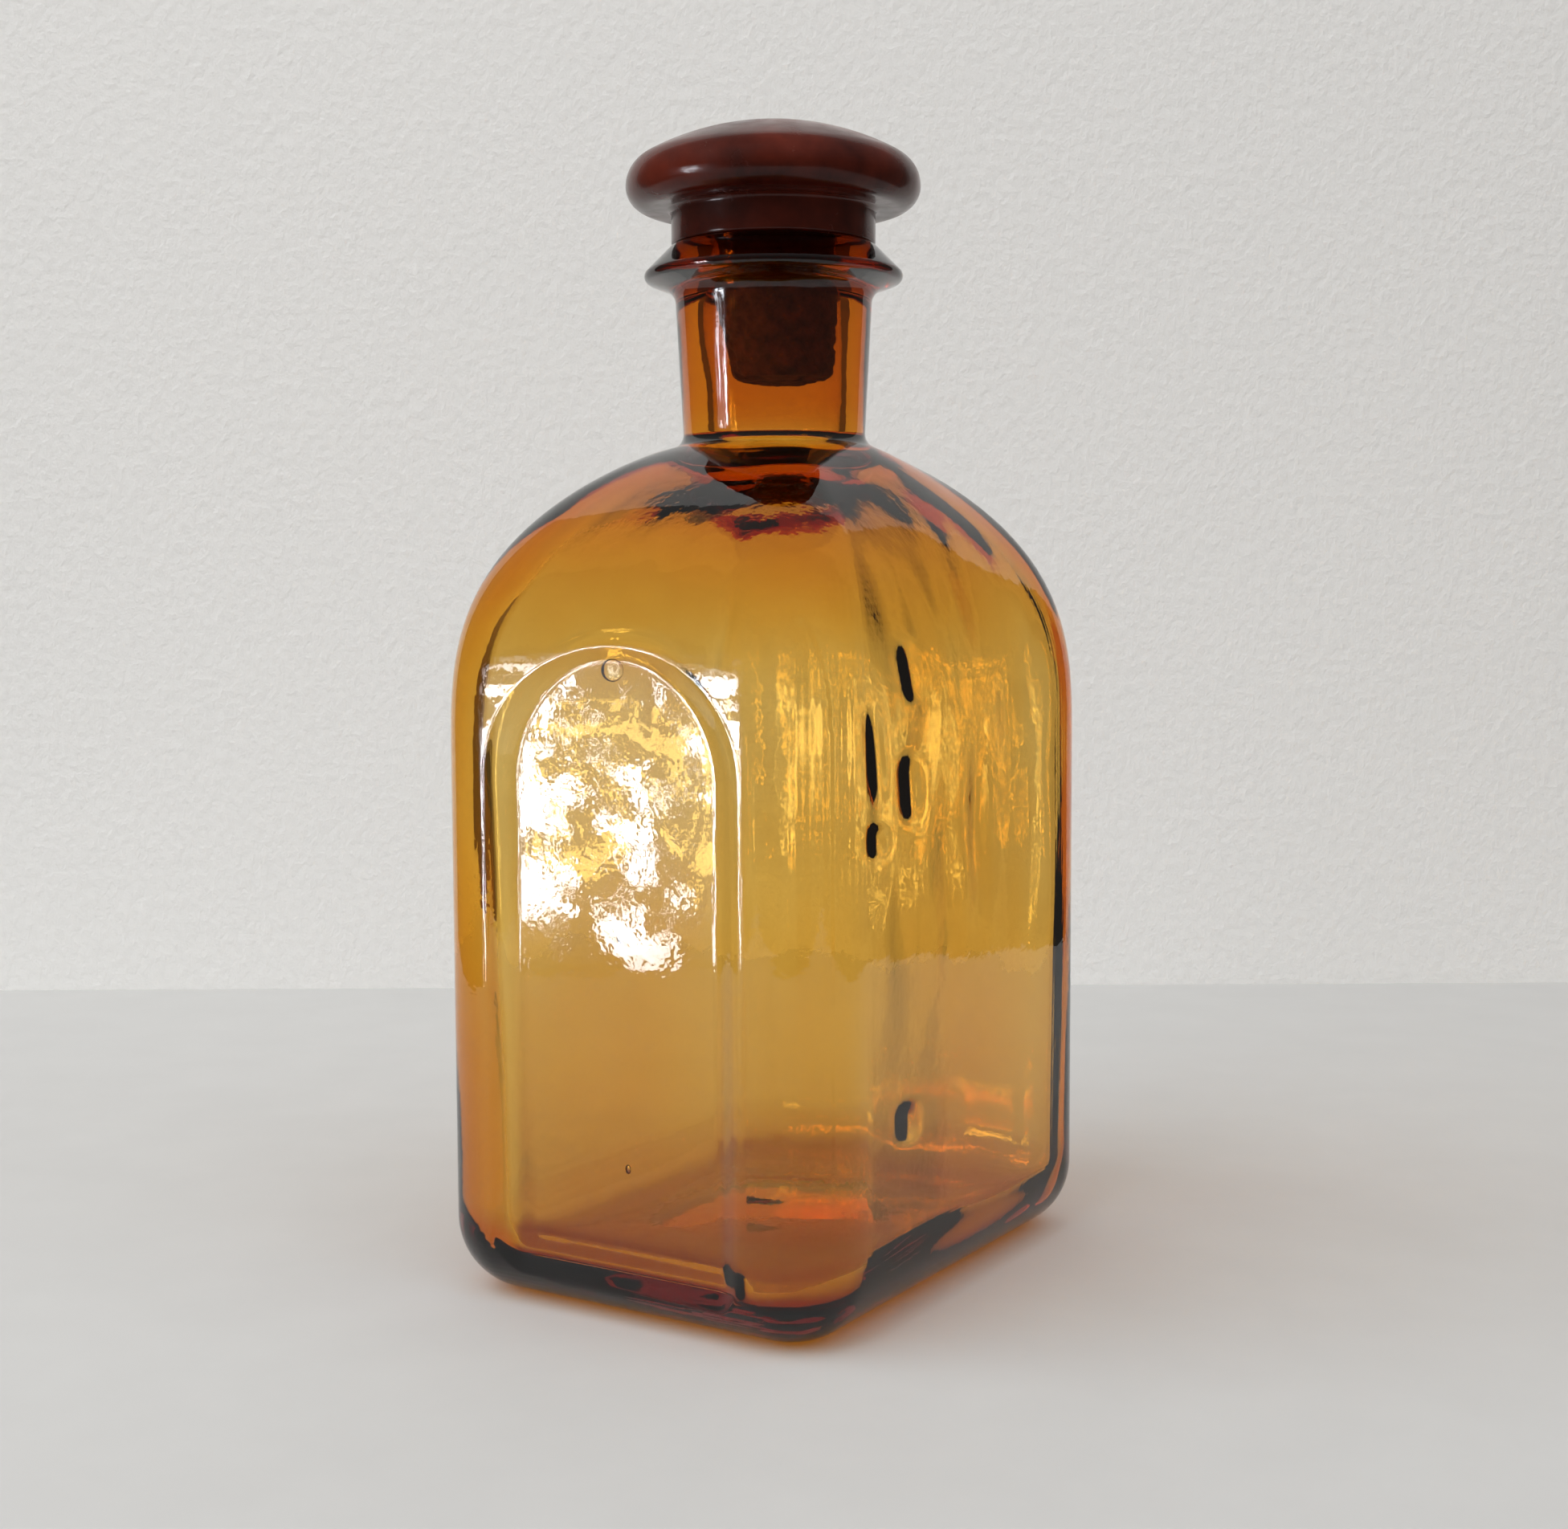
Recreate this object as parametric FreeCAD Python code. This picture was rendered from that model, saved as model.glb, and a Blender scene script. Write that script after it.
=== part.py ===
import FreeCAD, Part

import math
import os

from FreeCAD import Vector

# Amber reagent bottle with a corked mushroom stopper.
# A blown rectangular glass bottle has a recessed label panel on its front (-Y) face, a domed
# shoulder, and a neck with a sharp-edged ring below the lip. A moulded mushroom knob sits on the
# lip, and its spigot is glued into the tapered cork that closes the neck.
# Millimetres. The origin is the centre of the plane that the base stands on, and +Z is up.

# Glass body
body_width = 72.0
body_depth = 92.0
corner_radius = 12.5
heel_radius = 11.8
wall = 3.8
base_thickness = 6.5
inner_heel_radius = 8.0
pushup_radius = 21.0
pushup_height = 2.2

# Shoulder, from the top of the straight wall to the root of the neck
shoulder_start = 84.0
shoulder_height = 48.0
shoulder_steepness = 3.0
shoulder_fullness = 5.0 / 6.0
shoulder_wall = 4.2
shoulder_rises = (0, 0.14, 0.28, 0.42, 0.56, 0.68, 0.79, 0.88, 0.95)
shoulder_overlap = 10.0

# Neck, ring and lip, with heights from the root of the neck
neck_root_radius = 14.6
neck_top_radius = 15.8
root_blend_radius = 2.4
root_slope = 22.0
ring_height = 26.7
ring_radius = 21.5
ring_under_slope = 20.0
ring_blend_radius = 2.6
ring_edge_radius = 1.0
lip_height = 31.8
lip_radius = 16.4
lip_edge_radius = 0.8
mouth_radius = 11.4
mouth_edge_radius = 0.8
bore_root_radius = 10.4
root_flat = 0.6

# Label panel on the front face
panel_width = 43.0
panel_top = 102.4
panel_depth = 1.8
panel_border = 2.4

# Stopper knob
knob_radius = 23.5
knob_edge_radius = 5.2
knob_under_radius = 3.6
knob_crown = 9.9
collar_radius = 16.3
collar_height = 5.7
collar_edge_radius = 0.6
collar_fillet_radius = 0.8
spigot_radius = 5.0
spigot_length = 13.0
spigot_chamfer = 0.8

# Cork
cork_length = 20.8
cork_end_radius = 8.2
cork_edge_radius = 1.2

# Fits
cork_clearance = 0.1
glue_gap = 0.1
seat_gap = 0.05

# Places that follow from the sizes above
front_y = -body_depth / 2
neck_root_z = shoulder_start + shoulder_height
neck_foot_radius = neck_root_radius + root_blend_radius * (1 - math.sin(math.radians(root_slope)))
ring_z = neck_root_z + ring_height
lip_z = neck_root_z + lip_height
collar_z = lip_z + seat_gap
knob_under_z = collar_z + collar_height
knob_widest_z = knob_under_z + knob_under_radius
knob_top_z = knob_widest_z + knob_crown

up = Vector(0, 0, 1)
origin = Vector(0, 0, 0)
touching = 1e-6


def at(radius, z):
    """A point of a turned profile, drawn in the XZ plane."""
    return Vector(radius, 0, z)


def line(start, end):
    return Part.LineSegment(start, end).toShape()


def arc(centre, radius, start_degrees, end_degrees):
    """An arc of a turned profile, with angles from +X towards +Z."""
    spots = []
    for degrees in (start_degrees, (start_degrees + end_degrees) / 2, end_degrees):
        turn = math.radians(degrees)
        spots.append(centre + at(radius * math.cos(turn), radius * math.sin(turn)))
    return Part.Arc(*spots).toShape()


def rounded_chain(corners):
    """Edges through (corner, radius) pairs in order. A corner with a radius is rounded off."""
    edges = []
    reached = corners[0][0]
    for index, (corner, radius) in enumerate(corners):
        entry = leave = corner
        if radius:
            before = (corners[index - 1][0] - corner).normalize()
            after = (corners[index + 1][0] - corner).normalize()
            half_angle = before.getAngle(after) / 2
            inward = (before + after).normalize()
            middle = corner + inward * (radius / math.sin(half_angle) - radius)
            entry = corner + before * (radius / math.tan(half_angle))
            leave = corner + after * (radius / math.tan(half_angle))
        if (entry - reached).Length > touching:
            edges.append(line(reached, entry))
        if radius:
            edges.append(Part.Arc(entry, middle, leave).toShape())
        reached = leave
    return edges


def turned(edges):
    """The solid that a closed profile makes when it is turned about the bottle's axis."""
    face = Part.Face(Part.Wire(Part.__sortEdges__(edges)))
    return face.revolve(origin, up, 360)


def rounded_rectangle(half_x, half_y, radius, z):
    """A closed wire of four corner arcs and four straight sides, from the front right corner."""
    corners = []
    for quarter, (side_x, side_y) in enumerate(((1, -1), (1, 1), (-1, 1), (-1, -1))):
        centre = Vector(side_x * (half_x - radius), side_y * (half_y - radius), z)
        spots = []
        for degrees in (-90, -45, 0):
            turn = math.radians(degrees + 90 * quarter)
            spots.append(centre + Vector(math.cos(turn), math.sin(turn), 0) * radius)
        corners.append(spots)
    edges = []
    for spots, following in zip(corners, corners[1:] + corners[:1]):
        edges.append(Part.Arc(*spots).toShape())
        edges.append(line(spots[2], following[0]))
    return Part.Wire(edges)


def shoulder_section(half_x, half_y, radius, rise, top_z, top_radius):
    """The shoulder's outline at a share of its height, on its way from a rectangle to a round."""
    share = (1 - rise**shoulder_steepness) ** shoulder_fullness
    return rounded_rectangle(
        top_radius + (half_x - top_radius) * share,
        top_radius + (half_y - top_radius) * share,
        top_radius + (radius - top_radius) * share,
        shoulder_start + (top_z - shoulder_start) * rise,
    )


def body_skin(half_x, half_y, radius, floor_z, floor_radius, top_z, top_radius):
    """A closed solid: straight walls on a rounded foot, drawn in over the shoulder up to top_z."""
    straight_top = shoulder_start - shoulder_overlap
    walls = Part.Face(rounded_rectangle(half_x, half_y, radius, floor_z))
    walls = walls.extrude(up * (straight_top - floor_z))
    foot = [edge for edge in walls.Edges if edge.BoundBox.ZMax < floor_z + touching]
    walls = walls.makeFillet(floor_radius, foot)

    sections = []
    for z in (straight_top, straight_top + shoulder_overlap / 2):
        sections.append(rounded_rectangle(half_x, half_y, radius, z))
    for rise in shoulder_rises:
        sections.append(shoulder_section(half_x, half_y, radius, rise, top_z, top_radius))
    sections.append(rounded_rectangle(top_radius, top_radius, top_radius - root_flat, top_z))
    return walls.fuse(Part.makeLoft(sections, True)).removeSplitter()


def neck_outside():
    """Neck, ring and lip as one turned solid that starts inside the shoulder."""
    blend_z = neck_root_z + root_blend_radius * math.cos(math.radians(root_slope))
    under_drop = (ring_radius - neck_top_radius) * math.tan(math.radians(ring_under_slope))
    sunk_z = neck_root_z - wall
    profile = rounded_chain(
        [
            (at(neck_root_radius, blend_z), 0),
            (at(neck_top_radius, ring_z - under_drop), ring_blend_radius),
            (at(ring_radius, ring_z), ring_edge_radius),
            (at(lip_radius, lip_z), lip_edge_radius),
            (at(0, lip_z), 0),
            (at(0, sunk_z), 0),
            (at(neck_foot_radius, sunk_z), 0),
            (at(neck_foot_radius, neck_root_z), 0),
        ]
    )
    blend_centre = at(neck_root_radius + root_blend_radius, blend_z)
    profile.append(arc(blend_centre, root_blend_radius, 180, 270 - root_slope))
    return turned(profile)


def bore():
    """The tapered hole through the neck, eased at the mouth."""
    sunk_z = neck_root_z - 2 * shoulder_wall
    eased_radius = mouth_radius + mouth_edge_radius
    eased_z = lip_z - mouth_edge_radius
    profile = rounded_chain(
        [
            (at(eased_radius, lip_z), 0),
            (at(0, lip_z), 0),
            (at(0, sunk_z), 0),
            (at(bore_root_radius, sunk_z), 0),
            (at(mouth_radius, eased_z), 0),
        ]
    )
    profile.append(arc(at(eased_radius, eased_z), mouth_edge_radius, 180, 90))
    return turned(profile)


def pushup_ball(rise):
    """The ball that forms the raised middle of the base, or of the floor a given rise above it."""
    ball_radius = (pushup_radius**2 + pushup_height**2) / (2 * pushup_height)
    ball = Part.makeSphere(ball_radius + rise)
    ball.translate(up * (pushup_height - ball_radius))
    return ball


def panel_outline(inset, y):
    """The label panel's outline: a half round over straight sides that run down to the base."""
    half = panel_width / 2 - inset
    spring_z = panel_top - panel_width / 2
    left_foot = Vector(-half, y, 0)
    right_foot = Vector(half, y, 0)
    left_spring = Vector(-half, y, spring_z)
    right_spring = Vector(half, y, spring_z)
    crown = Part.Arc(right_spring, Vector(0, y, spring_z + half), left_spring)
    edges = [line(left_spring, left_foot), line(left_foot, right_foot), line(right_foot, right_spring)]
    edges.append(crown.toShape())
    return Part.Wire(edges)


def label_recess():
    """What the label panel takes out of the front face, with a sloping border down to the heel."""
    outside = panel_outline(-panel_border, front_y - panel_depth)
    inside = panel_outline(panel_border, front_y + panel_depth)
    return Part.makeLoft([outside, inside], True, True)


def bottle():
    half_x = body_width / 2
    half_y = body_depth / 2
    outside = body_skin(half_x, half_y, corner_radius, 0, heel_radius, neck_root_z, neck_foot_radius)
    outside = outside.fuse(neck_outside()).removeSplitter()
    outside = outside.cut(pushup_ball(0)).cut(label_recess())
    inside = body_skin(
        half_x - wall,
        half_y - wall,
        corner_radius - wall,
        base_thickness,
        inner_heel_radius,
        neck_root_z - shoulder_wall,
        bore_root_radius,
    )
    inside = inside.cut(pushup_ball(base_thickness))
    return outside.cut(inside.fuse(bore()))


def stopper_knob():
    """Mushroom head, collar and spigot, as one turned piece."""
    flank = knob_radius - knob_edge_radius
    crown_radius = (flank**2 + knob_crown**2 - knob_edge_radius**2) / (2 * (knob_crown - knob_edge_radius))
    crown_z = knob_top_z - crown_radius
    crown_end = math.degrees(math.atan2(knob_widest_z - crown_z, flank))
    under_radius = knob_radius - knob_under_radius
    spigot_z = collar_z - spigot_length
    profile = [
        arc(at(0, crown_z), crown_radius, 90, crown_end),
        arc(at(flank, knob_widest_z), knob_edge_radius, crown_end, 0),
        arc(at(under_radius, knob_widest_z), knob_under_radius, 0, -90),
    ]
    profile += rounded_chain(
        [
            (at(under_radius, knob_under_z), 0),
            (at(collar_radius, knob_under_z), collar_fillet_radius),
            (at(collar_radius, collar_z), collar_edge_radius),
            (at(spigot_radius, collar_z), 0),
            (at(spigot_radius, spigot_z + spigot_chamfer), 0),
            (at(spigot_radius - spigot_chamfer, spigot_z), 0),
            (at(0, spigot_z), 0),
            (at(0, knob_top_z), 0),
        ]
    )
    return turned(profile)


def cork_plug():
    """Tapered cork with a blind hole for the spigot."""
    end_z = lip_z - cork_length
    hole_radius = spigot_radius + glue_gap
    hole_z = collar_z - spigot_length - glue_gap
    profile = rounded_chain(
        [
            (at(hole_radius, lip_z), 0),
            (at(mouth_radius - cork_clearance, lip_z), 0),
            (at(cork_end_radius, end_z), cork_edge_radius),
            (at(0, end_z), 0),
            (at(0, hole_z), 0),
            (at(hole_radius, hole_z), 0),
            (at(hole_radius, lip_z), 0),
        ]
    )
    return turned(profile)


os.makedirs("parts", exist_ok=True)
for make_piece in (bottle, stopper_knob, cork_plug):
    name = make_piece.__name__
    piece = make_piece()
    print(name, "solids", len(piece.Solids), "valid", piece.isValid(), "mm3", round(piece.Volume))
    piece.exportStep(f"parts/{name}.step")
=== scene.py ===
import math

import bmesh
import bpy
from mathutils import Matrix, Vector, noise


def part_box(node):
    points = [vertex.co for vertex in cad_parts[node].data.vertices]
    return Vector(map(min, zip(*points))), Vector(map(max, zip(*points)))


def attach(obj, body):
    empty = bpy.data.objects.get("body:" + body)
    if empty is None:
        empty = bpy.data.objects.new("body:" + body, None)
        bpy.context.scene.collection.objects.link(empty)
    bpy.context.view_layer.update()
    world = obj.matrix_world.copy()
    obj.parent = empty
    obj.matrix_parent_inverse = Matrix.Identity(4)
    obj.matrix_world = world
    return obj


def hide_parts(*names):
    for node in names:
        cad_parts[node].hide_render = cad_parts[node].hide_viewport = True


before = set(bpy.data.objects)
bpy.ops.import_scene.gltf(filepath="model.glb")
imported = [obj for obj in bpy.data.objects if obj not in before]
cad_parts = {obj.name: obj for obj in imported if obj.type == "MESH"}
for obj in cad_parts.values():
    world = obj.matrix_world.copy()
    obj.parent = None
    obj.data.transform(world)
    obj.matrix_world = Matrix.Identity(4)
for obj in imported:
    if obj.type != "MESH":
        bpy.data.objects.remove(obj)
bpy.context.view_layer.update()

# Amber reagent bottle: the blown glass, the stopper's knob and its cork, on a floor before a backdrop.
# Metres, in the frame of the part: the origin is the centre of the base, +Z is up, and the label
# panel faces -Y.

MM = 0.001

# Glass body
GLASS_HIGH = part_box("bottle")[1]
HALF_X = GLASS_HIGH.x
HALF_Y = GLASS_HIGH.y
LIP_Z = GLASS_HIGH.z
CORNER = 12.5 * MM
HEEL = 11.8 * MM
WALL = 2.2 * MM
INNER_CORNER = 13.5 * MM
FRONT_SWELL = 0.3 * MM
BACK_SWELL = 1.3 * MM
FRONT_LOW_SWELL = 1.7 * MM
BACK_LOW_SWELL = 1.2 * MM
BASE_THICKNESS = 7.0 * MM
INNER_HEEL = 7.0 * MM
PUSHUP_RADIUS = 21.0 * MM
PUSHUP_HEIGHT = 2.2 * MM

# Shoulder
SHOULDER_START = 84.0 * MM
SHOULDER_END = 132.0 * MM
SHOULDER_STEEPNESS = 3.0
SHOULDER_FULLNESS = 5.0 / 6.0
INNER_FULLNESS = 0.82
SHOULDER_WALL = 6.3 * MM

# Neck, ring and lip
NECK_ROOT = 14.6 * MM
NECK_TOP = 15.8 * MM
ROOT_BLEND = 2.4 * MM
ROOT_SLOPE = math.radians(22)
RING_Z = 158.7 * MM
RING = 21.5 * MM
RING_EDGE = 1.0 * MM
RING_BLEND = 2.6 * MM
RING_UNDER_SLOPE = math.radians(20)
LIP = 16.4 * MM
LIP_EDGE = 0.8 * MM
MOUTH = 11.4 * MM
THROAT = 10.4 * MM
THROAT_FLARE = 2.5 * MM

# Label panel on the front face
PANEL_HALF = 21.5 * MM
PANEL_TOP = 102.4 * MM
PANEL_DEPTH = 1.8 * MM
BORDER_OUTER = 1.6 * MM
BORDER_INNER = 3.8 * MM

# How finely the glass is divided
CORNER_STEPS = 18
SIDE_STEPS = 22
HEIGHT_STEPS = 30
HEEL_STEPS = 16
SHOULDER_STEPS = 36
TURN_STEPS = 120
SEAM_HEIGHT = 0.06 * MM

# Waves of the inside: height, and length round the wall and along it
BROAD_WAVE = (0.6 * MM, 22 * MM, 60 * MM)
FINE_WAVE = (0.45 * MM, 8 * MM, 19 * MM)
BORE_WAVE = (0.3 * MM, 7 * MM, 14 * MM)
BORE_INSET = 0.1 * MM
FRONT_WAVE_SHARE = 0.5
SWELL_DROP = 70 * MM
SWELL_BLEND = 50 * MM

# Bubbles in the front wall behind the panel: place across, height, and half width, depth and height
BUBBLES = (
    (-0.3, 97.6, (2.0, 0.4, 1.7)),
    (0.7, 58.5, (0.6, 0.4, 0.9)),
    (1.7, 24.2, (0.5, 0.4, 0.7)),
)
BUBBLE_COVER = 0.8 * MM

# Amber of the glass: what passes through it, and how soon it is taken up
AMBER = (0.945, 0.735, 0.005)
AMBER_DENSITY = 350.0
GLASS_IOR = 1.5
GLASS_SHADOW = (0.86, 0.85, 0.82)

# How the thicker glass of the neck deepens its colour from the root to the lip, with painted shade that
# darkens the ring and lip almost to black
NECK_TINTS_AND_SHADE = ((0.3, (0.88, 0.57, 0.32)), (0.76, (0.8, 0.48, 0.25)), (0.87, (0.28, 0.1, 0.055)))
LIP_PAINTED_SHADE = (0.06, 0.018, 0.013)


def material_nodes(name):
    """A new material with an empty node tree, and its output."""
    material = bpy.data.materials.new(name)
    material.use_nodes = True
    tree = material.node_tree
    tree.nodes.clear()
    return material, tree, tree.nodes.new("ShaderNodeOutputMaterial")


def add_node(tree, kind, **settings):
    """A node with its settings: names of inputs, or of the node's own properties."""
    node = tree.nodes.new(kind)
    for key, value in settings.items():
        label = key.replace("_", " ").title()
        if hasattr(node, key):
            setattr(node, key, value)
        else:
            node.inputs[label].default_value = value
    return node


def speckle_group():
    """Uneven colour from noise, shared by every material: a colour between two, and its height."""
    group = bpy.data.node_groups.new("speckle", "ShaderNodeTree")
    for name, kind in (("Vector", "Vector"), ("Scale", "Float"), ("Dark", "Color"), ("Light", "Color")):
        group.interface.new_socket(name, in_out="INPUT", socket_type=f"NodeSocket{kind}")
    group.interface.new_socket("Color", in_out="OUTPUT", socket_type="NodeSocketColor")
    group.interface.new_socket("Height", in_out="OUTPUT", socket_type="NodeSocketFloat")
    given = group.nodes.new("NodeGroupInput")
    result = group.nodes.new("NodeGroupOutput")
    noise_node = add_node(group, "ShaderNodeTexNoise", detail=5.0, roughness=0.55)
    spread = add_node(group, "ShaderNodeMapRange", from_min=0.32, from_max=0.7)
    blend = add_node(group, "ShaderNodeMix", data_type="RGBA")
    group.links.new(given.outputs["Vector"], noise_node.inputs["Vector"])
    group.links.new(given.outputs["Scale"], noise_node.inputs["Scale"])
    group.links.new(noise_node.outputs["Fac"], spread.inputs["Value"])
    group.links.new(spread.outputs["Result"], blend.inputs["Factor"])
    group.links.new(given.outputs["Dark"], blend.inputs[6])
    group.links.new(given.outputs["Light"], blend.inputs[7])
    group.links.new(blend.outputs[2], result.inputs["Color"])
    group.links.new(spread.outputs["Result"], result.inputs["Height"])
    return group


def add_speckle(tree, place, scale, dark, light):
    """A use of the shared speckle in one material, in object coordinates."""
    node = tree.nodes.new("ShaderNodeGroup")
    node.node_tree = SPECKLE
    node.inputs["Scale"].default_value = scale
    node.inputs["Dark"].default_value = (*dark, 1)
    node.inputs["Light"].default_value = (*light, 1)
    tree.links.new(place.outputs["Object"], node.inputs["Vector"])
    return node


SPECKLE = speckle_group()


def begin(primitive, **settings):
    """Adds one primitive by itself and opens it for editing, with all of it selected."""
    bpy.ops.object.select_all(action="DESELECT")
    primitive(**settings)
    bpy.ops.object.mode_set(mode="EDIT")
    bpy.ops.mesh.select_mode(type="VERT")
    bpy.ops.mesh.select_all(action="SELECT")
    return bpy.context.object


def pick(piece, kind, test):
    """Selects the vertices, edges or faces of a piece that pass a test of their place."""
    bpy.ops.mesh.select_mode(type=kind)
    bpy.ops.mesh.select_all(action="DESELECT")
    mesh = bmesh.from_edit_mesh(piece.data)
    for part in {"VERT": mesh.verts, "EDGE": mesh.edges, "FACE": mesh.faces}[kind]:
        if test(part):
            part.select_set(True)
    bmesh.update_edit_mesh(piece.data)


def at_height(part, z):
    return all(abs(vert.co.z - z) < 0.001 * MM for vert in part.verts)


def rise_of(edge):
    return abs(edge.verts[0].co.z - edge.verts[1].co.z)


def mean_radius(piece):
    """The mean distance of the selected ring from the axis."""
    mesh = bmesh.from_edit_mesh(piece.data)
    lengths = [vert.co.xy.length for vert in mesh.verts if vert.select]
    return sum(lengths) / len(lengths)


def next_ring(lift, scale, roundness=0.0):
    """Extrudes the selected end, and makes its new ring rounder and wider or narrower."""
    bpy.ops.mesh.extrude_region_move(TRANSFORM_OT_translate={"value": (0, 0, lift)})
    if roundness > 0:
        bpy.ops.transform.tosphere(value=roundness)
    bpy.ops.transform.resize(value=(scale, scale, 1))


def steps(count, first=0.0, last=1.0):
    return [first + (last - first) * step / count for step in range(count + 1)]


def smoothstep(value):
    value = min(1.0, max(0.0, value))
    return value * value * (3 - 2 * value)


def arc_points(centre, radius, first, last, count):
    """Points (r, z) of an arc in a turned profile, with angles from +r towards +z."""
    return [
        (centre[0] + radius * math.cos(turn), centre[1] + radius * math.sin(turn))
        for turn in steps(count, first, last)
    ]


def line_points(start, end, count):
    return [
        (start[0] + (end[0] - start[0]) * share, start[1] + (end[1] - start[1]) * share)
        for share in steps(count)
    ]


def rounded_corner(before, corner, after, radius, count):
    """Points of the arc that rounds off a corner of a turned profile."""
    at = Vector(corner)
    toward = (Vector(before) - at).normalized()
    away = (Vector(after) - at).normalized()
    half = toward.angle(away) / 2
    middle = (toward + away).normalized()
    centre = at + middle * (radius / math.sin(half))
    entry = at + toward * (radius / math.tan(half)) - centre
    leave = at + away * (radius / math.tan(half)) - centre
    points = []
    for share in steps(count):
        arm = entry.lerp(leave, share).normalized() * radius
        points.append(tuple(centre + arm))
    return points


def neck_profile():
    """The outside of the neck from its root to the lip, then over the lip and down to the throat."""
    blend_z = SHOULDER_END + ROOT_BLEND * math.cos(ROOT_SLOPE)
    root = arc_points(
        (NECK_ROOT + ROOT_BLEND, blend_z), ROOT_BLEND, math.radians(270) - ROOT_SLOPE, math.radians(180), 7
    )
    under_z = RING_Z - (RING - NECK_TOP) * math.tan(RING_UNDER_SLOPE)
    knee = (NECK_TOP, under_z)
    edge = (RING, RING_Z)
    lip = (LIP, LIP_Z)
    mouth = (MOUTH, LIP_Z)
    throat = (THROAT, SHOULDER_END - SHOULDER_WALL + THROAT_FLARE + 1.0 * MM)
    blend = rounded_corner(root[-1], knee, edge, RING_BLEND, 8)
    rim = rounded_corner(knee, edge, lip, RING_EDGE, 8)
    lip_arc = rounded_corner(edge, lip, mouth, LIP_EDGE, 6)
    mouth_arc = rounded_corner(lip, mouth, throat, LIP_EDGE, 6)
    profile = root
    profile += line_points(root[-1], blend[0], 14)[1:-1] + blend
    profile += line_points(blend[-1], rim[0], 5)[1:-1] + rim
    profile += line_points(rim[-1], lip_arc[0], 6)[1:-1] + lip_arc
    profile += line_points(lip_arc[-1], mouth_arc[0], 4)[1:-1] + mouth_arc
    profile += line_points(mouth_arc[-1], throat, 24)[1:]
    return profile


def shoulder_share(rise, fullness):
    return max(0.0, 1 - rise**SHOULDER_STEEPNESS) ** fullness


def rounded_box(name, half_x, half_y, corner, heel, low):
    """A box with rounded upright corners and a rounded lower rim, as tall as the straight walls."""
    piece = begin(bpy.ops.mesh.primitive_cube_add, size=1)
    piece.name = name
    height = SHOULDER_START - low
    bpy.ops.transform.resize(value=(2 * half_x, 2 * half_y, height))
    bpy.ops.transform.translate(value=(0, 0, low + height / 2))
    pick(piece, "EDGE", lambda edge: rise_of(edge) > height / 2)
    bpy.ops.mesh.bevel(offset=corner, segments=CORNER_STEPS, affect="EDGES")
    pick(piece, "EDGE", lambda edge: rise_of(edge) < height / 2 and edge.calc_length() > 2 * corner)
    bpy.ops.mesh.subdivide(number_cuts=SIDE_STEPS - 1)
    pick(piece, "EDGE", lambda edge: at_height(edge, low))
    bpy.ops.mesh.bevel(offset=heel, segments=HEEL_STEPS, affect="EDGES")
    pick(piece, "EDGE", lambda edge: rise_of(edge) > height / 2)
    bpy.ops.mesh.subdivide(number_cuts=HEIGHT_STEPS - 1)
    return piece


def push_up(piece, low, ball):
    """Domes the flat of the base upwards: a round of the push-up's radius, then rings on a ball."""
    pick(piece, "FACE", lambda face: at_height(face, low))
    reach = math.sqrt(ball**2 - (ball - PUSHUP_HEIGHT) ** 2)
    next_ring(0, reach / mean_radius(piece), 1.0)
    before = (reach, 0.0)
    for share in steps(8, 1.0, 0.0)[1:-1]:
        radius = reach * share
        lift = PUSHUP_HEIGHT - ball + math.sqrt(ball**2 - radius**2)
        next_ring(lift - before[1], radius / before[0])
        before = (radius, lift)
    next_ring(PUSHUP_HEIGHT - before[1], 0.5)
    bpy.ops.mesh.merge(type="CENTER")


def raise_shoulder(piece, end_radius, end_z, fullness):
    """Extrudes the box's top ring by ring into a dome that ends in a circle."""
    pick(piece, "FACE", lambda face: at_height(face, SHOULDER_START))
    rise = 0.0
    share = 1.0
    for step in steps(SHOULDER_STEPS)[1:]:
        next_rise = step**0.8
        next_share = shoulder_share(next_rise, fullness)
        kept = next_share / share
        added = end_radius * (1 - next_share - kept * (1 - share)) / mean_radius(piece)
        lift = (end_z - SHOULDER_START) * (next_rise - rise)
        next_ring(lift, kept + added, added / (kept + added))
        rise = next_rise
        share = next_share


def follow(profile):
    """Extrudes the selected circle along a turned profile of (radius, z)."""
    for (radius, z), (next_radius, next_z) in zip(profile, profile[1:]):
        next_ring(next_z - z, next_radius / radius)


def panel_distance(x, z):
    """How far a point of the front face lies outside the panel's outline, negative inside."""
    spring = PANEL_TOP - PANEL_HALF
    return math.hypot(x, max(z - spring, 0)) - PANEL_HALF


def panel_sink(x, z):
    """How deep the panel lies at a point of the front face, eased over the width of its border."""
    border = BORDER_OUTER + BORDER_INNER
    return PANEL_DEPTH * smoothstep((BORDER_OUTER - panel_distance(x, z)) / border)


def refine_panel(piece, front, cuts):
    """Divides the front face more finely round the border of the panel."""
    for reach in (4.0 * MM, 2.4 * MM)[:cuts]:

        def near_border(face):
            middle = face.calc_center_median()
            facing = abs(face.normal.y) > 0.4 and middle.y < front + 6 * MM
            away = panel_distance(middle.x, middle.z)
            return facing and -BORDER_INNER - reach < away < BORDER_OUTER + reach

        pick(piece, "FACE", near_border)
        bpy.ops.mesh.subdivide(number_cuts=1)


def press_panel(piece):
    """Sinks the panel into the front face, point by point so that its border runs out in the heel."""
    refine_panel(piece, -HALF_Y, 2)
    mesh = bmesh.from_edit_mesh(piece.data)
    for vert in mesh.verts:
        sink = panel_sink(vert.co.x, vert.co.z)
        if sink > 0 and vert.co.y < -HALF_Y + 6 * MM:
            vert.co.y = max(vert.co.y, -HALF_Y + sink)
    bmesh.update_edit_mesh(piece.data)


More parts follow.
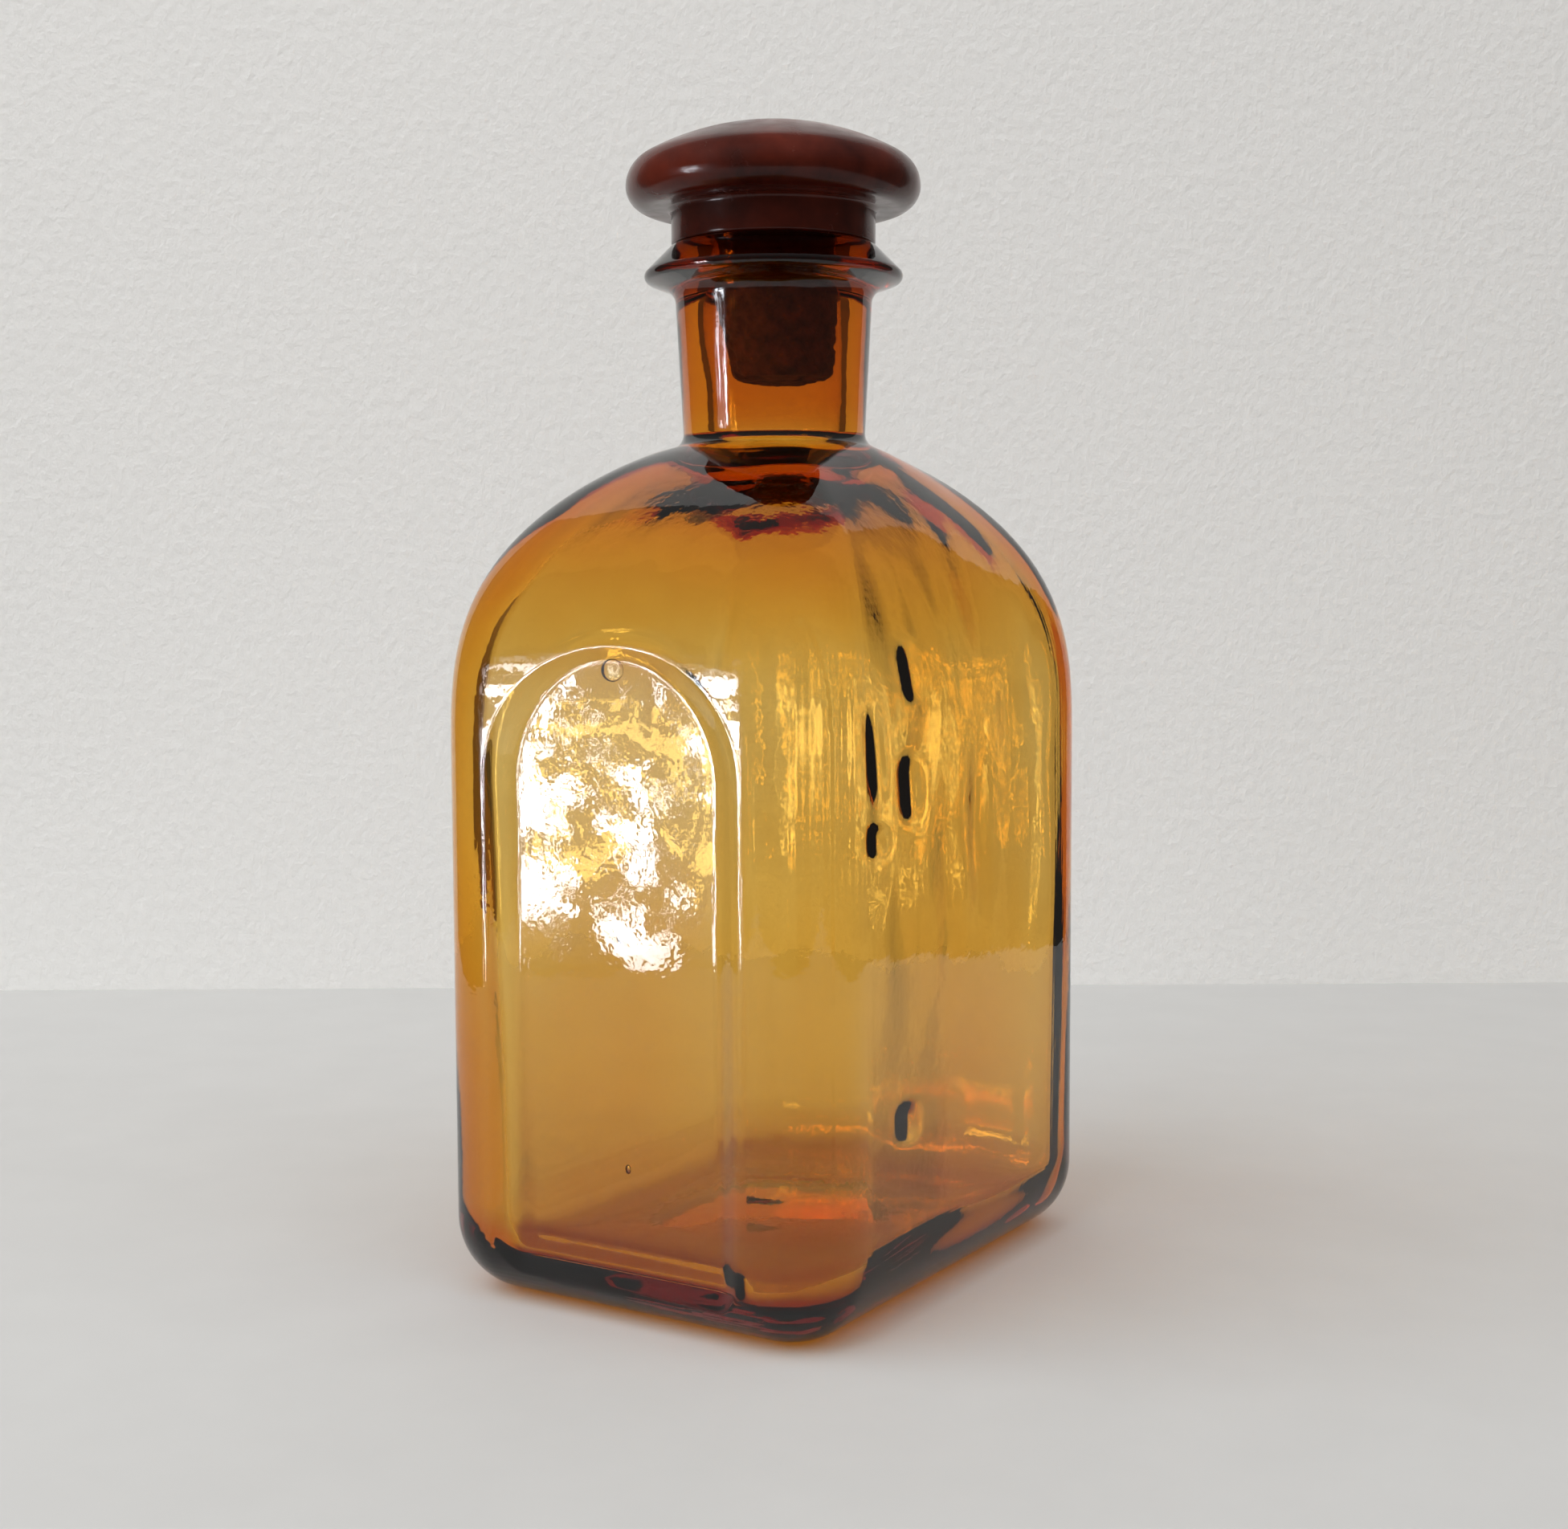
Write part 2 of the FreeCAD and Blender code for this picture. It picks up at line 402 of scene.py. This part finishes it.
def ripple(place, wave, seed):
    """How far a wave of the wall stands out at a place: noise that is longer along the height."""
    height, round_length, up_length = wave
    return height * noise.noise(
        Vector((place.x / round_length, place.y / round_length, place.z / up_length + seed))
    )


# Folds inside the right face: place along the face, height, half length and depth
FOLDS = (
    (-28.8, 86.0, 6.0, 0.9),
    (-17.5, 97.0, 4.0, 0.7),
    (-18.3, 80.0, 4.0, 0.9),
    (-28.5, 73.0, 2.0, 0.8),
    (-19.0, 30.0, 2.5, 0.7),
)
FOLD_WIDTH = 1.8
FOLD_LEAN = 0.15


def fold_depth(place):
    """How far the folds of the right face stand inwards at a point of its inside."""
    depth = 0.0
    for along, height, half, deep in FOLDS:
        upward = place.z / MM - height
        across = (place.y / MM - along + FOLD_LEAN * upward) / FOLD_WIDTH
        depth += deep * math.exp(-across * across / 2 - (upward / half) ** 4)
    return depth * MM


def uneven_wall(piece):
    """Gives the inside of the blown wall its waves, and thicker glass in the middle of each face."""
    refine_panel(piece, -HALF_Y + WALL, 1)
    pick(
        piece,
        "FACE",
        lambda face: face.normal.x > 0.6 and 12 * MM < face.calc_center_median().z < 112 * MM,
    )
    bpy.ops.mesh.subdivide(number_cuts=3)
    mesh = bmesh.from_edit_mesh(piece.data)
    for vert in mesh.verts:
        place = vert.co.copy()
        out = Vector((place.x, place.y, 0)).normalized()
        along = min(abs(place.x) / (HALF_X - CORNER), 1)
        across = min(abs(place.y) / (HALF_Y - CORNER), 1)
        behind = smoothstep((place.x + place.y) / SWELL_BLEND + 0.5)
        thick = FRONT_SWELL + (BACK_SWELL - FRONT_SWELL) * behind
        low = FRONT_LOW_SWELL + (BACK_LOW_SWELL - FRONT_LOW_SWELL) * behind
        swell = thick * math.cos(min(along, across) * math.pi / 2)
        swell += low * smoothstep((SHOULDER_START - place.z) / SWELL_DROP)
        if place.x > HALF_X - 9 * MM:
            swell += fold_depth(place)
        calm = smoothstep((place.z - 30 * MM) / (35 * MM))
        wave = ripple(place, BROAD_WAVE, 3.0) + calm * ripple(place, FINE_WAVE, 11.0)
        wave *= FRONT_WAVE_SHARE if place.y < -HALF_Y + 9 * MM else 1.0
        fade = smoothstep((SHOULDER_END - SHOULDER_WALL - place.z) / (22 * MM))
        fade *= smoothstep((place.z - BASE_THICKNESS) / (6 * MM) + 0.4)
        vert.co = place + out * (wave - swell) * fade
        if place.y < -HALF_Y + 8 * MM:
            vert.co.y += panel_sink(place.x, place.z) * fade
    bmesh.update_edit_mesh(piece.data)


def uneven_bore(piece):
    """Gives the inside of the neck faint waves below the lip."""
    mesh = bmesh.from_edit_mesh(piece.data)
    for vert in mesh.verts:
        place = vert.co.copy()
        if place.xy.length < MOUTH + 0.5 * MM and SHOULDER_END - 5 * MM < place.z < LIP_Z:
            wave = ripple(place, BORE_WAVE, 5.0) - BORE_INSET
            out = Vector((place.x, place.y, 0)).normalized()
            vert.co = place + out * wave * smoothstep((LIP_Z - place.z) / (8 * MM))
    bmesh.update_edit_mesh(piece.data)


def make_glass():
    inside = rounded_box(
        "glass_inside", HALF_X - WALL, HALF_Y - WALL, INNER_CORNER, INNER_HEEL, BASE_THICKNESS
    )
    ball = (PUSHUP_RADIUS**2 + PUSHUP_HEIGHT**2) / (2 * PUSHUP_HEIGHT)
    push_up(inside, BASE_THICKNESS, ball + BASE_THICKNESS)
    throat_z = SHOULDER_END - SHOULDER_WALL
    flare = (THROAT + THROAT_FLARE, throat_z + THROAT_FLARE)
    raise_shoulder(inside, flare[0], throat_z, INNER_FULLNESS)
    follow(arc_points(flare, THROAT_FLARE, math.radians(270), math.radians(180), 8))
    bpy.ops.mesh.delete(type="ONLY_FACE")
    uneven_wall(inside)
    bpy.ops.object.mode_set(mode="OBJECT")

    piece = rounded_box("glass_bottle", HALF_X, HALF_Y, CORNER, HEEL, 0)
    lean = SEAM_HEIGHT / math.sqrt(2)
    for side in (1, -1):
        centre = Vector((side * (HALF_X - CORNER), -side * (HALF_Y - CORNER)))
        ridge = centre + Vector((side, -side)).normalized() * CORNER
        pick(piece, "VERT", lambda vert: (vert.co.xy - ridge).length < 0.1 * MM)
        bpy.ops.transform.translate(value=(side * lean, -side * lean, 0))
    push_up(piece, 0, ball)
    profile = neck_profile()
    raise_shoulder(piece, profile[0][0], SHOULDER_END, SHOULDER_FULLNESS)
    follow(profile)
    bpy.ops.mesh.delete(type="ONLY_FACE")
    uneven_bore(piece)
    press_panel(piece)
    bpy.ops.object.mode_set(mode="OBJECT")

    inside.select_set(True)
    bpy.ops.object.join()
    bpy.ops.object.mode_set(mode="EDIT")
    pick(piece, "EDGE", lambda edge: edge.is_boundary)
    bpy.ops.mesh.bridge_edge_loops()
    bpy.ops.mesh.select_all(action="SELECT")
    bpy.ops.mesh.normals_make_consistent(inside=False)
    for across, height, halves in BUBBLES:
        place = (across * MM, -HALF_Y + PANEL_DEPTH + BUBBLE_COVER, height * MM)
        bpy.ops.mesh.select_all(action="DESELECT")
        bpy.ops.mesh.primitive_uv_sphere_add(segments=32, ring_count=20, radius=MM, location=place)
        bpy.ops.transform.resize(value=halves)
        bpy.ops.mesh.flip_normals()
    bpy.ops.object.mode_set(mode="OBJECT")
    bpy.ops.object.shade_smooth()
    return piece


def glass_material():
    material, tree, output = material_nodes("amber_glass")
    place = add_node(tree, "ShaderNodeTexCoord")
    split = add_node(tree, "ShaderNodeSeparateXYZ")
    shader = add_node(tree, "ShaderNodeBsdfPrincipled")
    shader.inputs["Transmission Weight"].default_value = 1.0
    shader.inputs["IOR"].default_value = GLASS_IOR
    dust = add_speckle(tree, place, 900.0, (0, 0, 0), (1, 1, 1))
    haze = add_node(tree, "ShaderNodeMapRange", from_min=0.55, from_max=1.0, to_max=0.03)
    tint = add_speckle(tree, place, 45.0, (0.97, 0.93, 0.86), (1.0, 0.99, 0.97))
    wave = add_speckle(tree, place, 55.0, (0, 0, 0), (1, 1, 1))
    bump = add_node(tree, "ShaderNodeBump", strength=0.08, distance=0.0005)
    # Neck ramp: deeper amber for the thicker neck, and painted shade that darkens the glass over the ring
    # and lip nearly to black
    height = add_node(tree, "ShaderNodeMapRange", from_min=SHOULDER_END - 4 * MM, from_max=LIP_Z)
    neck = add_node(tree, "ShaderNodeValToRGB")
    neck.color_ramp.elements[0].color = (1, 1, 1, 1)
    neck.color_ramp.elements[1].color = (*LIP_PAINTED_SHADE, 1)
    for share, colour in NECK_TINTS_AND_SHADE:
        neck.color_ramp.elements.new(share).color = (*colour, 1)
    deeper_and_shaded = add_node(tree, "ShaderNodeMix", data_type="RGBA", blend_type="MULTIPLY")
    deeper_and_shaded.inputs["Factor"].default_value = 1.0
    tree.links.new(dust.outputs["Height"], haze.inputs["Value"])
    tree.links.new(haze.outputs["Result"], shader.inputs["Roughness"])
    tree.links.new(place.outputs["Object"], split.inputs["Vector"])
    tree.links.new(split.outputs["Z"], height.inputs["Value"])
    tree.links.new(height.outputs["Result"], neck.inputs["Fac"])
    tree.links.new(tint.outputs["Color"], deeper_and_shaded.inputs[6])
    tree.links.new(neck.outputs["Color"], deeper_and_shaded.inputs[7])
    tree.links.new(deeper_and_shaded.outputs[2], shader.inputs["Base Color"])
    tree.links.new(wave.outputs["Height"], bump.inputs["Height"])
    tree.links.new(bump.outputs["Normal"], shader.inputs["Normal"])
    clear = add_node(tree, "ShaderNodeBsdfTransparent")
    clear.inputs["Color"].default_value = (*GLASS_SHADOW, 1)
    path = add_node(tree, "ShaderNodeLightPath")
    mix = add_node(tree, "ShaderNodeMixShader")
    tree.links.new(path.outputs["Is Shadow Ray"], mix.inputs[0])
    tree.links.new(shader.outputs["BSDF"], mix.inputs[1])
    tree.links.new(clear.outputs["BSDF"], mix.inputs[2])
    tree.links.new(mix.outputs["Shader"], output.inputs["Surface"])
    absorb = add_node(tree, "ShaderNodeVolumeAbsorption")
    absorb.inputs["Color"].default_value = (*AMBER, 1)
    absorb.inputs["Density"].default_value = AMBER_DENSITY
    tree.links.new(absorb.outputs["Volume"], output.inputs["Volume"])
    return material


def spun(name, profile):
    """Draws half a section of (radius, z) point by point, and spins it round the axis."""
    piece = begin(bpy.ops.mesh.primitive_plane_add, size=MM)
    piece.name = name
    bpy.ops.mesh.merge(type="CENTER")
    bpy.ops.transform.translate(value=(profile[0][0], 0, profile[0][1]))
    for (radius, z), (next_radius, next_z) in zip(profile, profile[1:]):
        bpy.ops.mesh.extrude_vertices_move(
            TRANSFORM_OT_translate={"value": (next_radius - radius, 0, next_z - z)}
        )
    bpy.ops.mesh.select_all(action="SELECT")
    bpy.ops.mesh.spin(steps=TURN_STEPS, angle=2 * math.pi, center=(0, 0, 0), axis=(0, 0, 1))
    bpy.ops.mesh.select_all(action="SELECT")
    bpy.ops.mesh.remove_doubles(threshold=0.002 * MM)
    bpy.ops.mesh.normals_make_consistent(inside=False)
    bpy.ops.object.mode_set(mode="OBJECT")
    bpy.ops.object.shade_smooth()
    return piece


# Stopper
KNOB_LOW, KNOB_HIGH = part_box("stopper_knob")
KNOB = KNOB_HIGH.x
KNOB_EDGE = 5.2 * MM
KNOB_UNDER = 3.6 * MM
KNOB_CROWN = 9.9 * MM
COLLAR = 16.3 * MM
COLLAR_Z = LIP_Z + 0.05 * MM
COLLAR_EDGE = 0.6 * MM
COLLAR_FILLET = 0.8 * MM
SPIGOT = 5.0 * MM
RESIN_DARK = (0.032, 0.005, 0.003)
RESIN_LIGHT = (0.11, 0.016, 0.008)


def make_knob():
    top = KNOB_HIGH.z
    widest = top - KNOB_CROWN
    under = widest - KNOB_UNDER
    flank = KNOB - KNOB_EDGE
    crown = (flank**2 + KNOB_CROWN**2 - KNOB_EDGE**2) / (2 * (KNOB_CROWN - KNOB_EDGE))
    lean = math.atan2(widest - (top - crown), flank)
    profile = arc_points((0, top - crown), crown, math.radians(90), lean, 26)
    profile += arc_points((flank, widest), KNOB_EDGE, lean, 0, 14)[1:]
    profile += arc_points((KNOB - KNOB_UNDER, widest), KNOB_UNDER, 0, math.radians(-90), 14)[1:]
    knee = (COLLAR, under)
    foot = (COLLAR, COLLAR_Z)
    inner = (SPIGOT, COLLAR_Z)
    fillet = rounded_corner(profile[-1], knee, foot, COLLAR_FILLET, 6)
    edge = rounded_corner(knee, foot, inner, COLLAR_EDGE, 6)
    profile += line_points(profile[-1], fillet[0], 4)[1:-1] + fillet
    profile += line_points(fillet[-1], edge[0], 6)[1:-1] + edge
    profile += line_points(edge[-1], inner, 8)[1:]
    profile += line_points(inner, (SPIGOT, KNOB_LOW.z), 6)[1:]
    profile += line_points((SPIGOT, KNOB_LOW.z), (0, KNOB_LOW.z), 4)[1:]
    return spun("knob", profile)


def knob_material():
    material, tree, output = material_nodes("knob_resin")
    place = add_node(tree, "ShaderNodeTexCoord")
    shader = add_node(tree, "ShaderNodeBsdfPrincipled")
    swirl = add_speckle(tree, place, 90.0, RESIN_DARK, RESIN_LIGHT)
    smear = add_speckle(tree, place, 240.0, (0, 0, 0), (1, 1, 1))
    gloss = add_node(tree, "ShaderNodeMapRange", to_min=0.12, to_max=0.3)
    tree.links.new(swirl.outputs["Color"], shader.inputs["Base Color"])
    tree.links.new(smear.outputs["Height"], gloss.inputs["Value"])
    tree.links.new(gloss.outputs["Result"], shader.inputs["Roughness"])
    shader.inputs["Specular IOR Level"].default_value = 0.2
    shader.inputs["Coat Weight"].default_value = 0.06
    shader.inputs["Coat Roughness"].default_value = 0.06
    tree.links.new(shader.outputs["BSDF"], output.inputs["Surface"])
    return material


# Cork
CORK_LOW, CORK_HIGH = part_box("cork_plug")
CORK_TOP = CORK_HIGH.x
CORK_END = 8.2 * MM
CORK_LEAN = Vector((0.844, 0.536, 0)) * 1.6 * MM
CORK_HOLE = 5.1 * MM
CORK_HOLE_Z = 150.75 * MM
CORK_DARK = (0.03, 0.008, 0.006)
CORK_LIGHT = (0.11, 0.036, 0.026)


def make_cork():
    rim = rounded_corner((CORK_TOP, CORK_HIGH.z), (CORK_END, CORK_LOW.z), (0, CORK_LOW.z), 1.2 * MM, 6)
    profile = line_points((0, CORK_HOLE_Z), (CORK_HOLE, CORK_HOLE_Z), 3)
    profile += line_points((CORK_HOLE, CORK_HOLE_Z), (CORK_HOLE, CORK_HIGH.z), 6)[1:]
    profile += line_points((CORK_HOLE, CORK_HIGH.z), (CORK_TOP, CORK_HIGH.z), 8)[1:]
    profile += line_points((CORK_TOP, CORK_HIGH.z), rim[0], 50)[1:-1] + rim
    profile += line_points(rim[-1], (0, CORK_LOW.z), 16)[1:]
    piece = spun("cork", profile)
    for vert in piece.data.vertices:
        place = vert.co.copy()
        drop = (CORK_HIGH.z - place.z) / (CORK_HIGH.z - CORK_LOW.z)
        if place.xy.length < CORK_HOLE + 0.5 * MM and drop < 0.6 or drop < 0.01:
            continue
        pit = min(0.0, noise.noise(place / (1.6 * MM)) - 0.1) * 0.9
        grain = noise.noise(place / (0.6 * MM)) * 0.18
        out = Vector((place.x, place.y, 0)).normalized()
        ragged = max(0.0, noise.noise(place / (2.4 * MM) + Vector((7, 0, 0)))) * smoothstep(drop * 4 - 3)
        vert.co = place + out * (pit + grain - 0.15) * MM + CORK_LEAN * drop
        vert.co.z += ragged * 1.2 * MM
    return piece


def cork_material():
    material, tree, output = material_nodes("dark_cork")
    place = add_node(tree, "ShaderNodeTexCoord")
    shader = add_node(tree, "ShaderNodeBsdfPrincipled")
    grain = add_speckle(tree, place, 420.0, CORK_DARK, CORK_LIGHT)
    bump = add_node(tree, "ShaderNodeBump", strength=0.6, distance=0.0004)
    tree.links.new(grain.outputs["Color"], shader.inputs["Base Color"])
    tree.links.new(grain.outputs["Height"], bump.inputs["Height"])
    tree.links.new(bump.outputs["Normal"], shader.inputs["Normal"])
    shader.inputs["Roughness"].default_value = 0.85
    tree.links.new(shader.outputs["BSDF"], output.inputs["Surface"])
    return material


# Camera at the photograph's viewing angle
VIEW_AZIMUTH = math.radians(32.37)
VIEW_DISTANCE = 347.2 * MM
VIEW_HEIGHT = 107.4 * MM
VIEW_PITCH = math.radians(4.355)
VIEW_YAW = math.radians(0.219)
VIEW_ROLL = math.radians(-0.245)
LENS = 49.12
SENSOR = 36.0


def add_camera():
    ahead = Vector((-math.sin(VIEW_AZIMUTH), math.cos(VIEW_AZIMUTH), 0))
    right = Vector((math.cos(VIEW_AZIMUTH), math.sin(VIEW_AZIMUTH), 0))
    up = Vector((0, 0, 1))
    place = -ahead * VIEW_DISTANCE + up * VIEW_HEIGHT
    ahead, right = (
        ahead * math.cos(VIEW_YAW) + right * math.sin(VIEW_YAW),
        right * math.cos(VIEW_YAW) - ahead * math.sin(VIEW_YAW),
    )
    ahead, up = (
        ahead * math.cos(VIEW_PITCH) - up * math.sin(VIEW_PITCH),
        up * math.cos(VIEW_PITCH) + ahead * math.sin(VIEW_PITCH),
    )
    right, up = (
        right * math.cos(VIEW_ROLL) + up * math.sin(VIEW_ROLL),
        up * math.cos(VIEW_ROLL) - right * math.sin(VIEW_ROLL),
    )
    data = bpy.data.cameras.new("camera")
    data.lens = LENS
    data.sensor_width = SENSOR
    data.clip_start = 0.01
    camera = bpy.data.objects.new("camera", data)
    turn = Matrix((right, up, -ahead)).transposed().to_4x4()
    camera.matrix_world = Matrix.Translation(place) @ turn
    bpy.context.scene.collection.objects.link(camera)
    bpy.context.scene.camera = camera


# Floor, backdrop and light
BACKDROP_PLACE = (0, 245 * MM, 390 * MM)
BACKDROP_SIZE = (660 * MM, 800 * MM)
FLOOR_PLACE = (-3 * MM, -60 * MM, 0)
FLOOR_SIZE = (620 * MM, 610 * MM)
FLOOR_COLOUR = (0.545, 0.545, 0.54)
BACKDROP_COLOUR = (0.82, 0.82, 0.81)
LAMP_COLOUR = (1.0, 1.0, 0.99)
SOFTBOX_COLOUR = (0.88, 0.93, 1.0)
SOFTBOX_SIZE = (0.17, 0.3)
SURROUNDINGS_LOW = (0.11, 0.094, 0.082)
SURROUNDINGS_HIGH = (0.28, 0.275, 0.27)
SURROUNDINGS_SEEN = (0.62, 0.615, 0.6)


def stage_material(name, colour, scale, relief):
    """A pale matt flat, clear from behind so that it never hides the bottle."""
    material, tree, output = material_nodes(name)
    place = add_node(tree, "ShaderNodeTexCoord")
    shader = add_node(tree, "ShaderNodeBsdfPrincipled")
    speckle = add_speckle(tree, place, scale, [part * 0.97 for part in colour], colour)
    bump = add_node(tree, "ShaderNodeBump", strength=relief, distance=0.0006)
    tree.links.new(speckle.outputs["Color"], shader.inputs["Base Color"])
    tree.links.new(speckle.outputs["Height"], bump.inputs["Height"])
    tree.links.new(bump.outputs["Normal"], shader.inputs["Normal"])
    shader.inputs["Roughness"].default_value = 0.8
    shader.inputs["Specular IOR Level"].default_value = 0.08
    side = add_node(tree, "ShaderNodeNewGeometry")
    clear = add_node(tree, "ShaderNodeBsdfTransparent")
    mix = add_node(tree, "ShaderNodeMixShader")
    tree.links.new(side.outputs["Backfacing"], mix.inputs[0])
    tree.links.new(shader.outputs["BSDF"], mix.inputs[1])
    tree.links.new(clear.outputs["BSDF"], mix.inputs[2])
    tree.links.new(mix.outputs["Shader"], output.inputs["Surface"])
    return material


def stage_plane(name, material, place, tilt, size):
    """A flat of the stage, square to the view."""
    bpy.ops.object.select_all(action="DESELECT")
    bpy.ops.mesh.primitive_plane_add(size=1)
    plane = bpy.context.object
    plane.name = name
    plane.data.materials.append(material)
    plane.matrix_world = (
        Matrix.Rotation(VIEW_AZIMUTH, 4, "Z")
        @ Matrix.Translation(place)
        @ Matrix.Rotation(tilt, 4, "X")
        @ Matrix.Diagonal((*size, 1, 1))
    )


def add_stage():
    floor = stage_material("floor_white", FLOOR_COLOUR, 30.0, 0.02)
    stage_plane("floor", floor, FLOOR_PLACE, 0, FLOOR_SIZE)
    backdrop = stage_material("backdrop_white", BACKDROP_COLOUR, 260.0, 0.3)
    stage_plane("backdrop", backdrop, BACKDROP_PLACE, math.radians(90), BACKDROP_SIZE)


def add_lamp(name, azimuth, elevation, distance, size, power, colour):
    data = bpy.data.lights.new(name, "AREA")
    data.shape = "RECTANGLE"
    data.size, data.size_y = size
    data.energy = power
    data.color = colour
    lamp = bpy.data.objects.new(name, data)
    out = Vector(
        (
            math.sin(azimuth) * math.cos(elevation),
            -math.cos(azimuth) * math.cos(elevation),
            math.sin(elevation),
        )
    )
    lamp.location = out * distance + Vector((0, 0, 0.08))
    lamp.rotation_euler = (-out).to_track_quat("-Z", "Y").to_euler()
    bpy.context.scene.collection.objects.link(lamp)
    return lamp


def hide_from(lamp, *rays):
    """Keeps a lamp out of the named kinds of ray."""
    for ray in rays:
        setattr(lamp, f"visible_{ray}", False)


# How the softbox dims towards its ends: place along it, and share of its full strength
SOFTBOX_FADE = ((0.1, 0.01), (0.2, 0.12), (0.35, 1.0), (0.7, 1.0), (0.84, 0.12), (0.93, 0.01))


def mottle(lamp):
    """Breaks the softbox up into bright and dim patches with soft ends, as its cloth is uneven."""
    lamp.data.use_nodes = True
    tree = lamp.data.node_tree
    place = add_node(tree, "ShaderNodeNewGeometry")
    mapping = add_node(tree, "ShaderNodeMapping")
    mapping.inputs["Location"].default_value = (1.7, 0.6, 0.0)
    mapping.inputs["Scale"].default_value = (5.5, 8.5, 1.0)
    cloth = add_node(tree, "ShaderNodeTexNoise", scale=1.0, detail=12.0, roughness=0.78)
    bright = add_node(tree, "ShaderNodeMapRange")
    bright.inputs["From Min"].default_value = 0.51
    bright.inputs["From Max"].default_value = 0.56
    bright.inputs["To Min"].default_value = 0.03
    bright.inputs["To Max"].default_value = 1.0
    split = add_node(tree, "ShaderNodeSeparateXYZ")
    tree.links.new(place.outputs["Parametric"], mapping.inputs["Vector"])
    tree.links.new(place.outputs["Parametric"], split.inputs["Vector"])
    tree.links.new(mapping.outputs["Vector"], cloth.inputs["Vector"])
    tree.links.new(cloth.outputs["Fac"], bright.inputs["Value"])
    strength = bright.outputs["Result"]
    for axis in ("X", "Y"):
        ends = add_node(tree, "ShaderNodeFloatCurve")
        curve = ends.mapping.curves[0]
        curve.points[0].location = (0.0, 0.0)
        curve.points[1].location = (1.0, 0.0)
        for place_along, share in SOFTBOX_FADE:
            curve.points.new(place_along, share)
        ends.mapping.update()
        faded = add_node(tree, "ShaderNodeMath", operation="MULTIPLY")
        tree.links.new(split.outputs[axis], ends.inputs["Value"])
        tree.links.new(strength, faded.inputs[0])
        tree.links.new(ends.outputs["Value"], faded.inputs[1])
        strength = faded.outputs["Value"]
    tree.links.new(strength, tree.nodes["Emission"].inputs["Strength"])


def add_light():
    key = add_lamp("key", math.radians(-30), math.radians(42), 1.5, (1.8, 1.4), 22.5, LAMP_COLOUR)
    fill = add_lamp("fill", math.radians(70), math.radians(55), 1.6, (1.8, 1.8), 15.5, LAMP_COLOUR)
    for lamp in (key, fill):
        hide_from(lamp, "glossy", "transmission", "camera")
    softbox = add_lamp(
        "softbox", math.radians(-33), math.radians(-1), 0.4, SOFTBOX_SIZE, 8.0, SOFTBOX_COLOUR
    )
    hide_from(softbox, "diffuse", "camera")
    mottle(softbox)
    world = bpy.data.worlds.new("surroundings")
    world.use_nodes = True
    tree = world.node_tree
    place = add_node(tree, "ShaderNodeTexCoord")
    split = add_node(tree, "ShaderNodeSeparateXYZ")
    shade = add_node(tree, "ShaderNodeValToRGB")
    shade.color_ramp.elements[0].position = 0.2
    shade.color_ramp.elements[0].color = (*SURROUNDINGS_LOW, 1)
    shade.color_ramp.elements[1].position = 0.8
    shade.color_ramp.elements[1].color = (*SURROUNDINGS_HIGH, 1)
    path = add_node(tree, "ShaderNodeLightPath")
    seen = add_node(tree, "ShaderNodeMix", data_type="RGBA")
    tree.links.new(place.outputs["Generated"], split.inputs["Vector"])
    tree.links.new(split.outputs["Z"], shade.inputs["Fac"])
    tree.links.new(path.outputs["Is Camera Ray"], seen.inputs["Factor"])
    tree.links.new(shade.outputs["Color"], seen.inputs[6])
    seen.inputs[7].default_value = (*SURROUNDINGS_SEEN, 1)
    tree.links.new(seen.outputs[2], tree.nodes["Background"].inputs["Color"])
    bpy.context.scene.world = world


def finish_piece(piece, material, body, node):
    piece.data.materials.append(material)
    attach(piece, body)
    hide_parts(node)


add_camera()
add_stage()
add_light()
finish_piece(make_glass(), glass_material(), "vessel", "bottle")
finish_piece(make_knob(), knob_material(), "stopper", "stopper_knob")
finish_piece(make_cork(), cork_material(), "stopper", "cork_plug")
bpy.context.scene.view_settings.view_transform = "Standard"
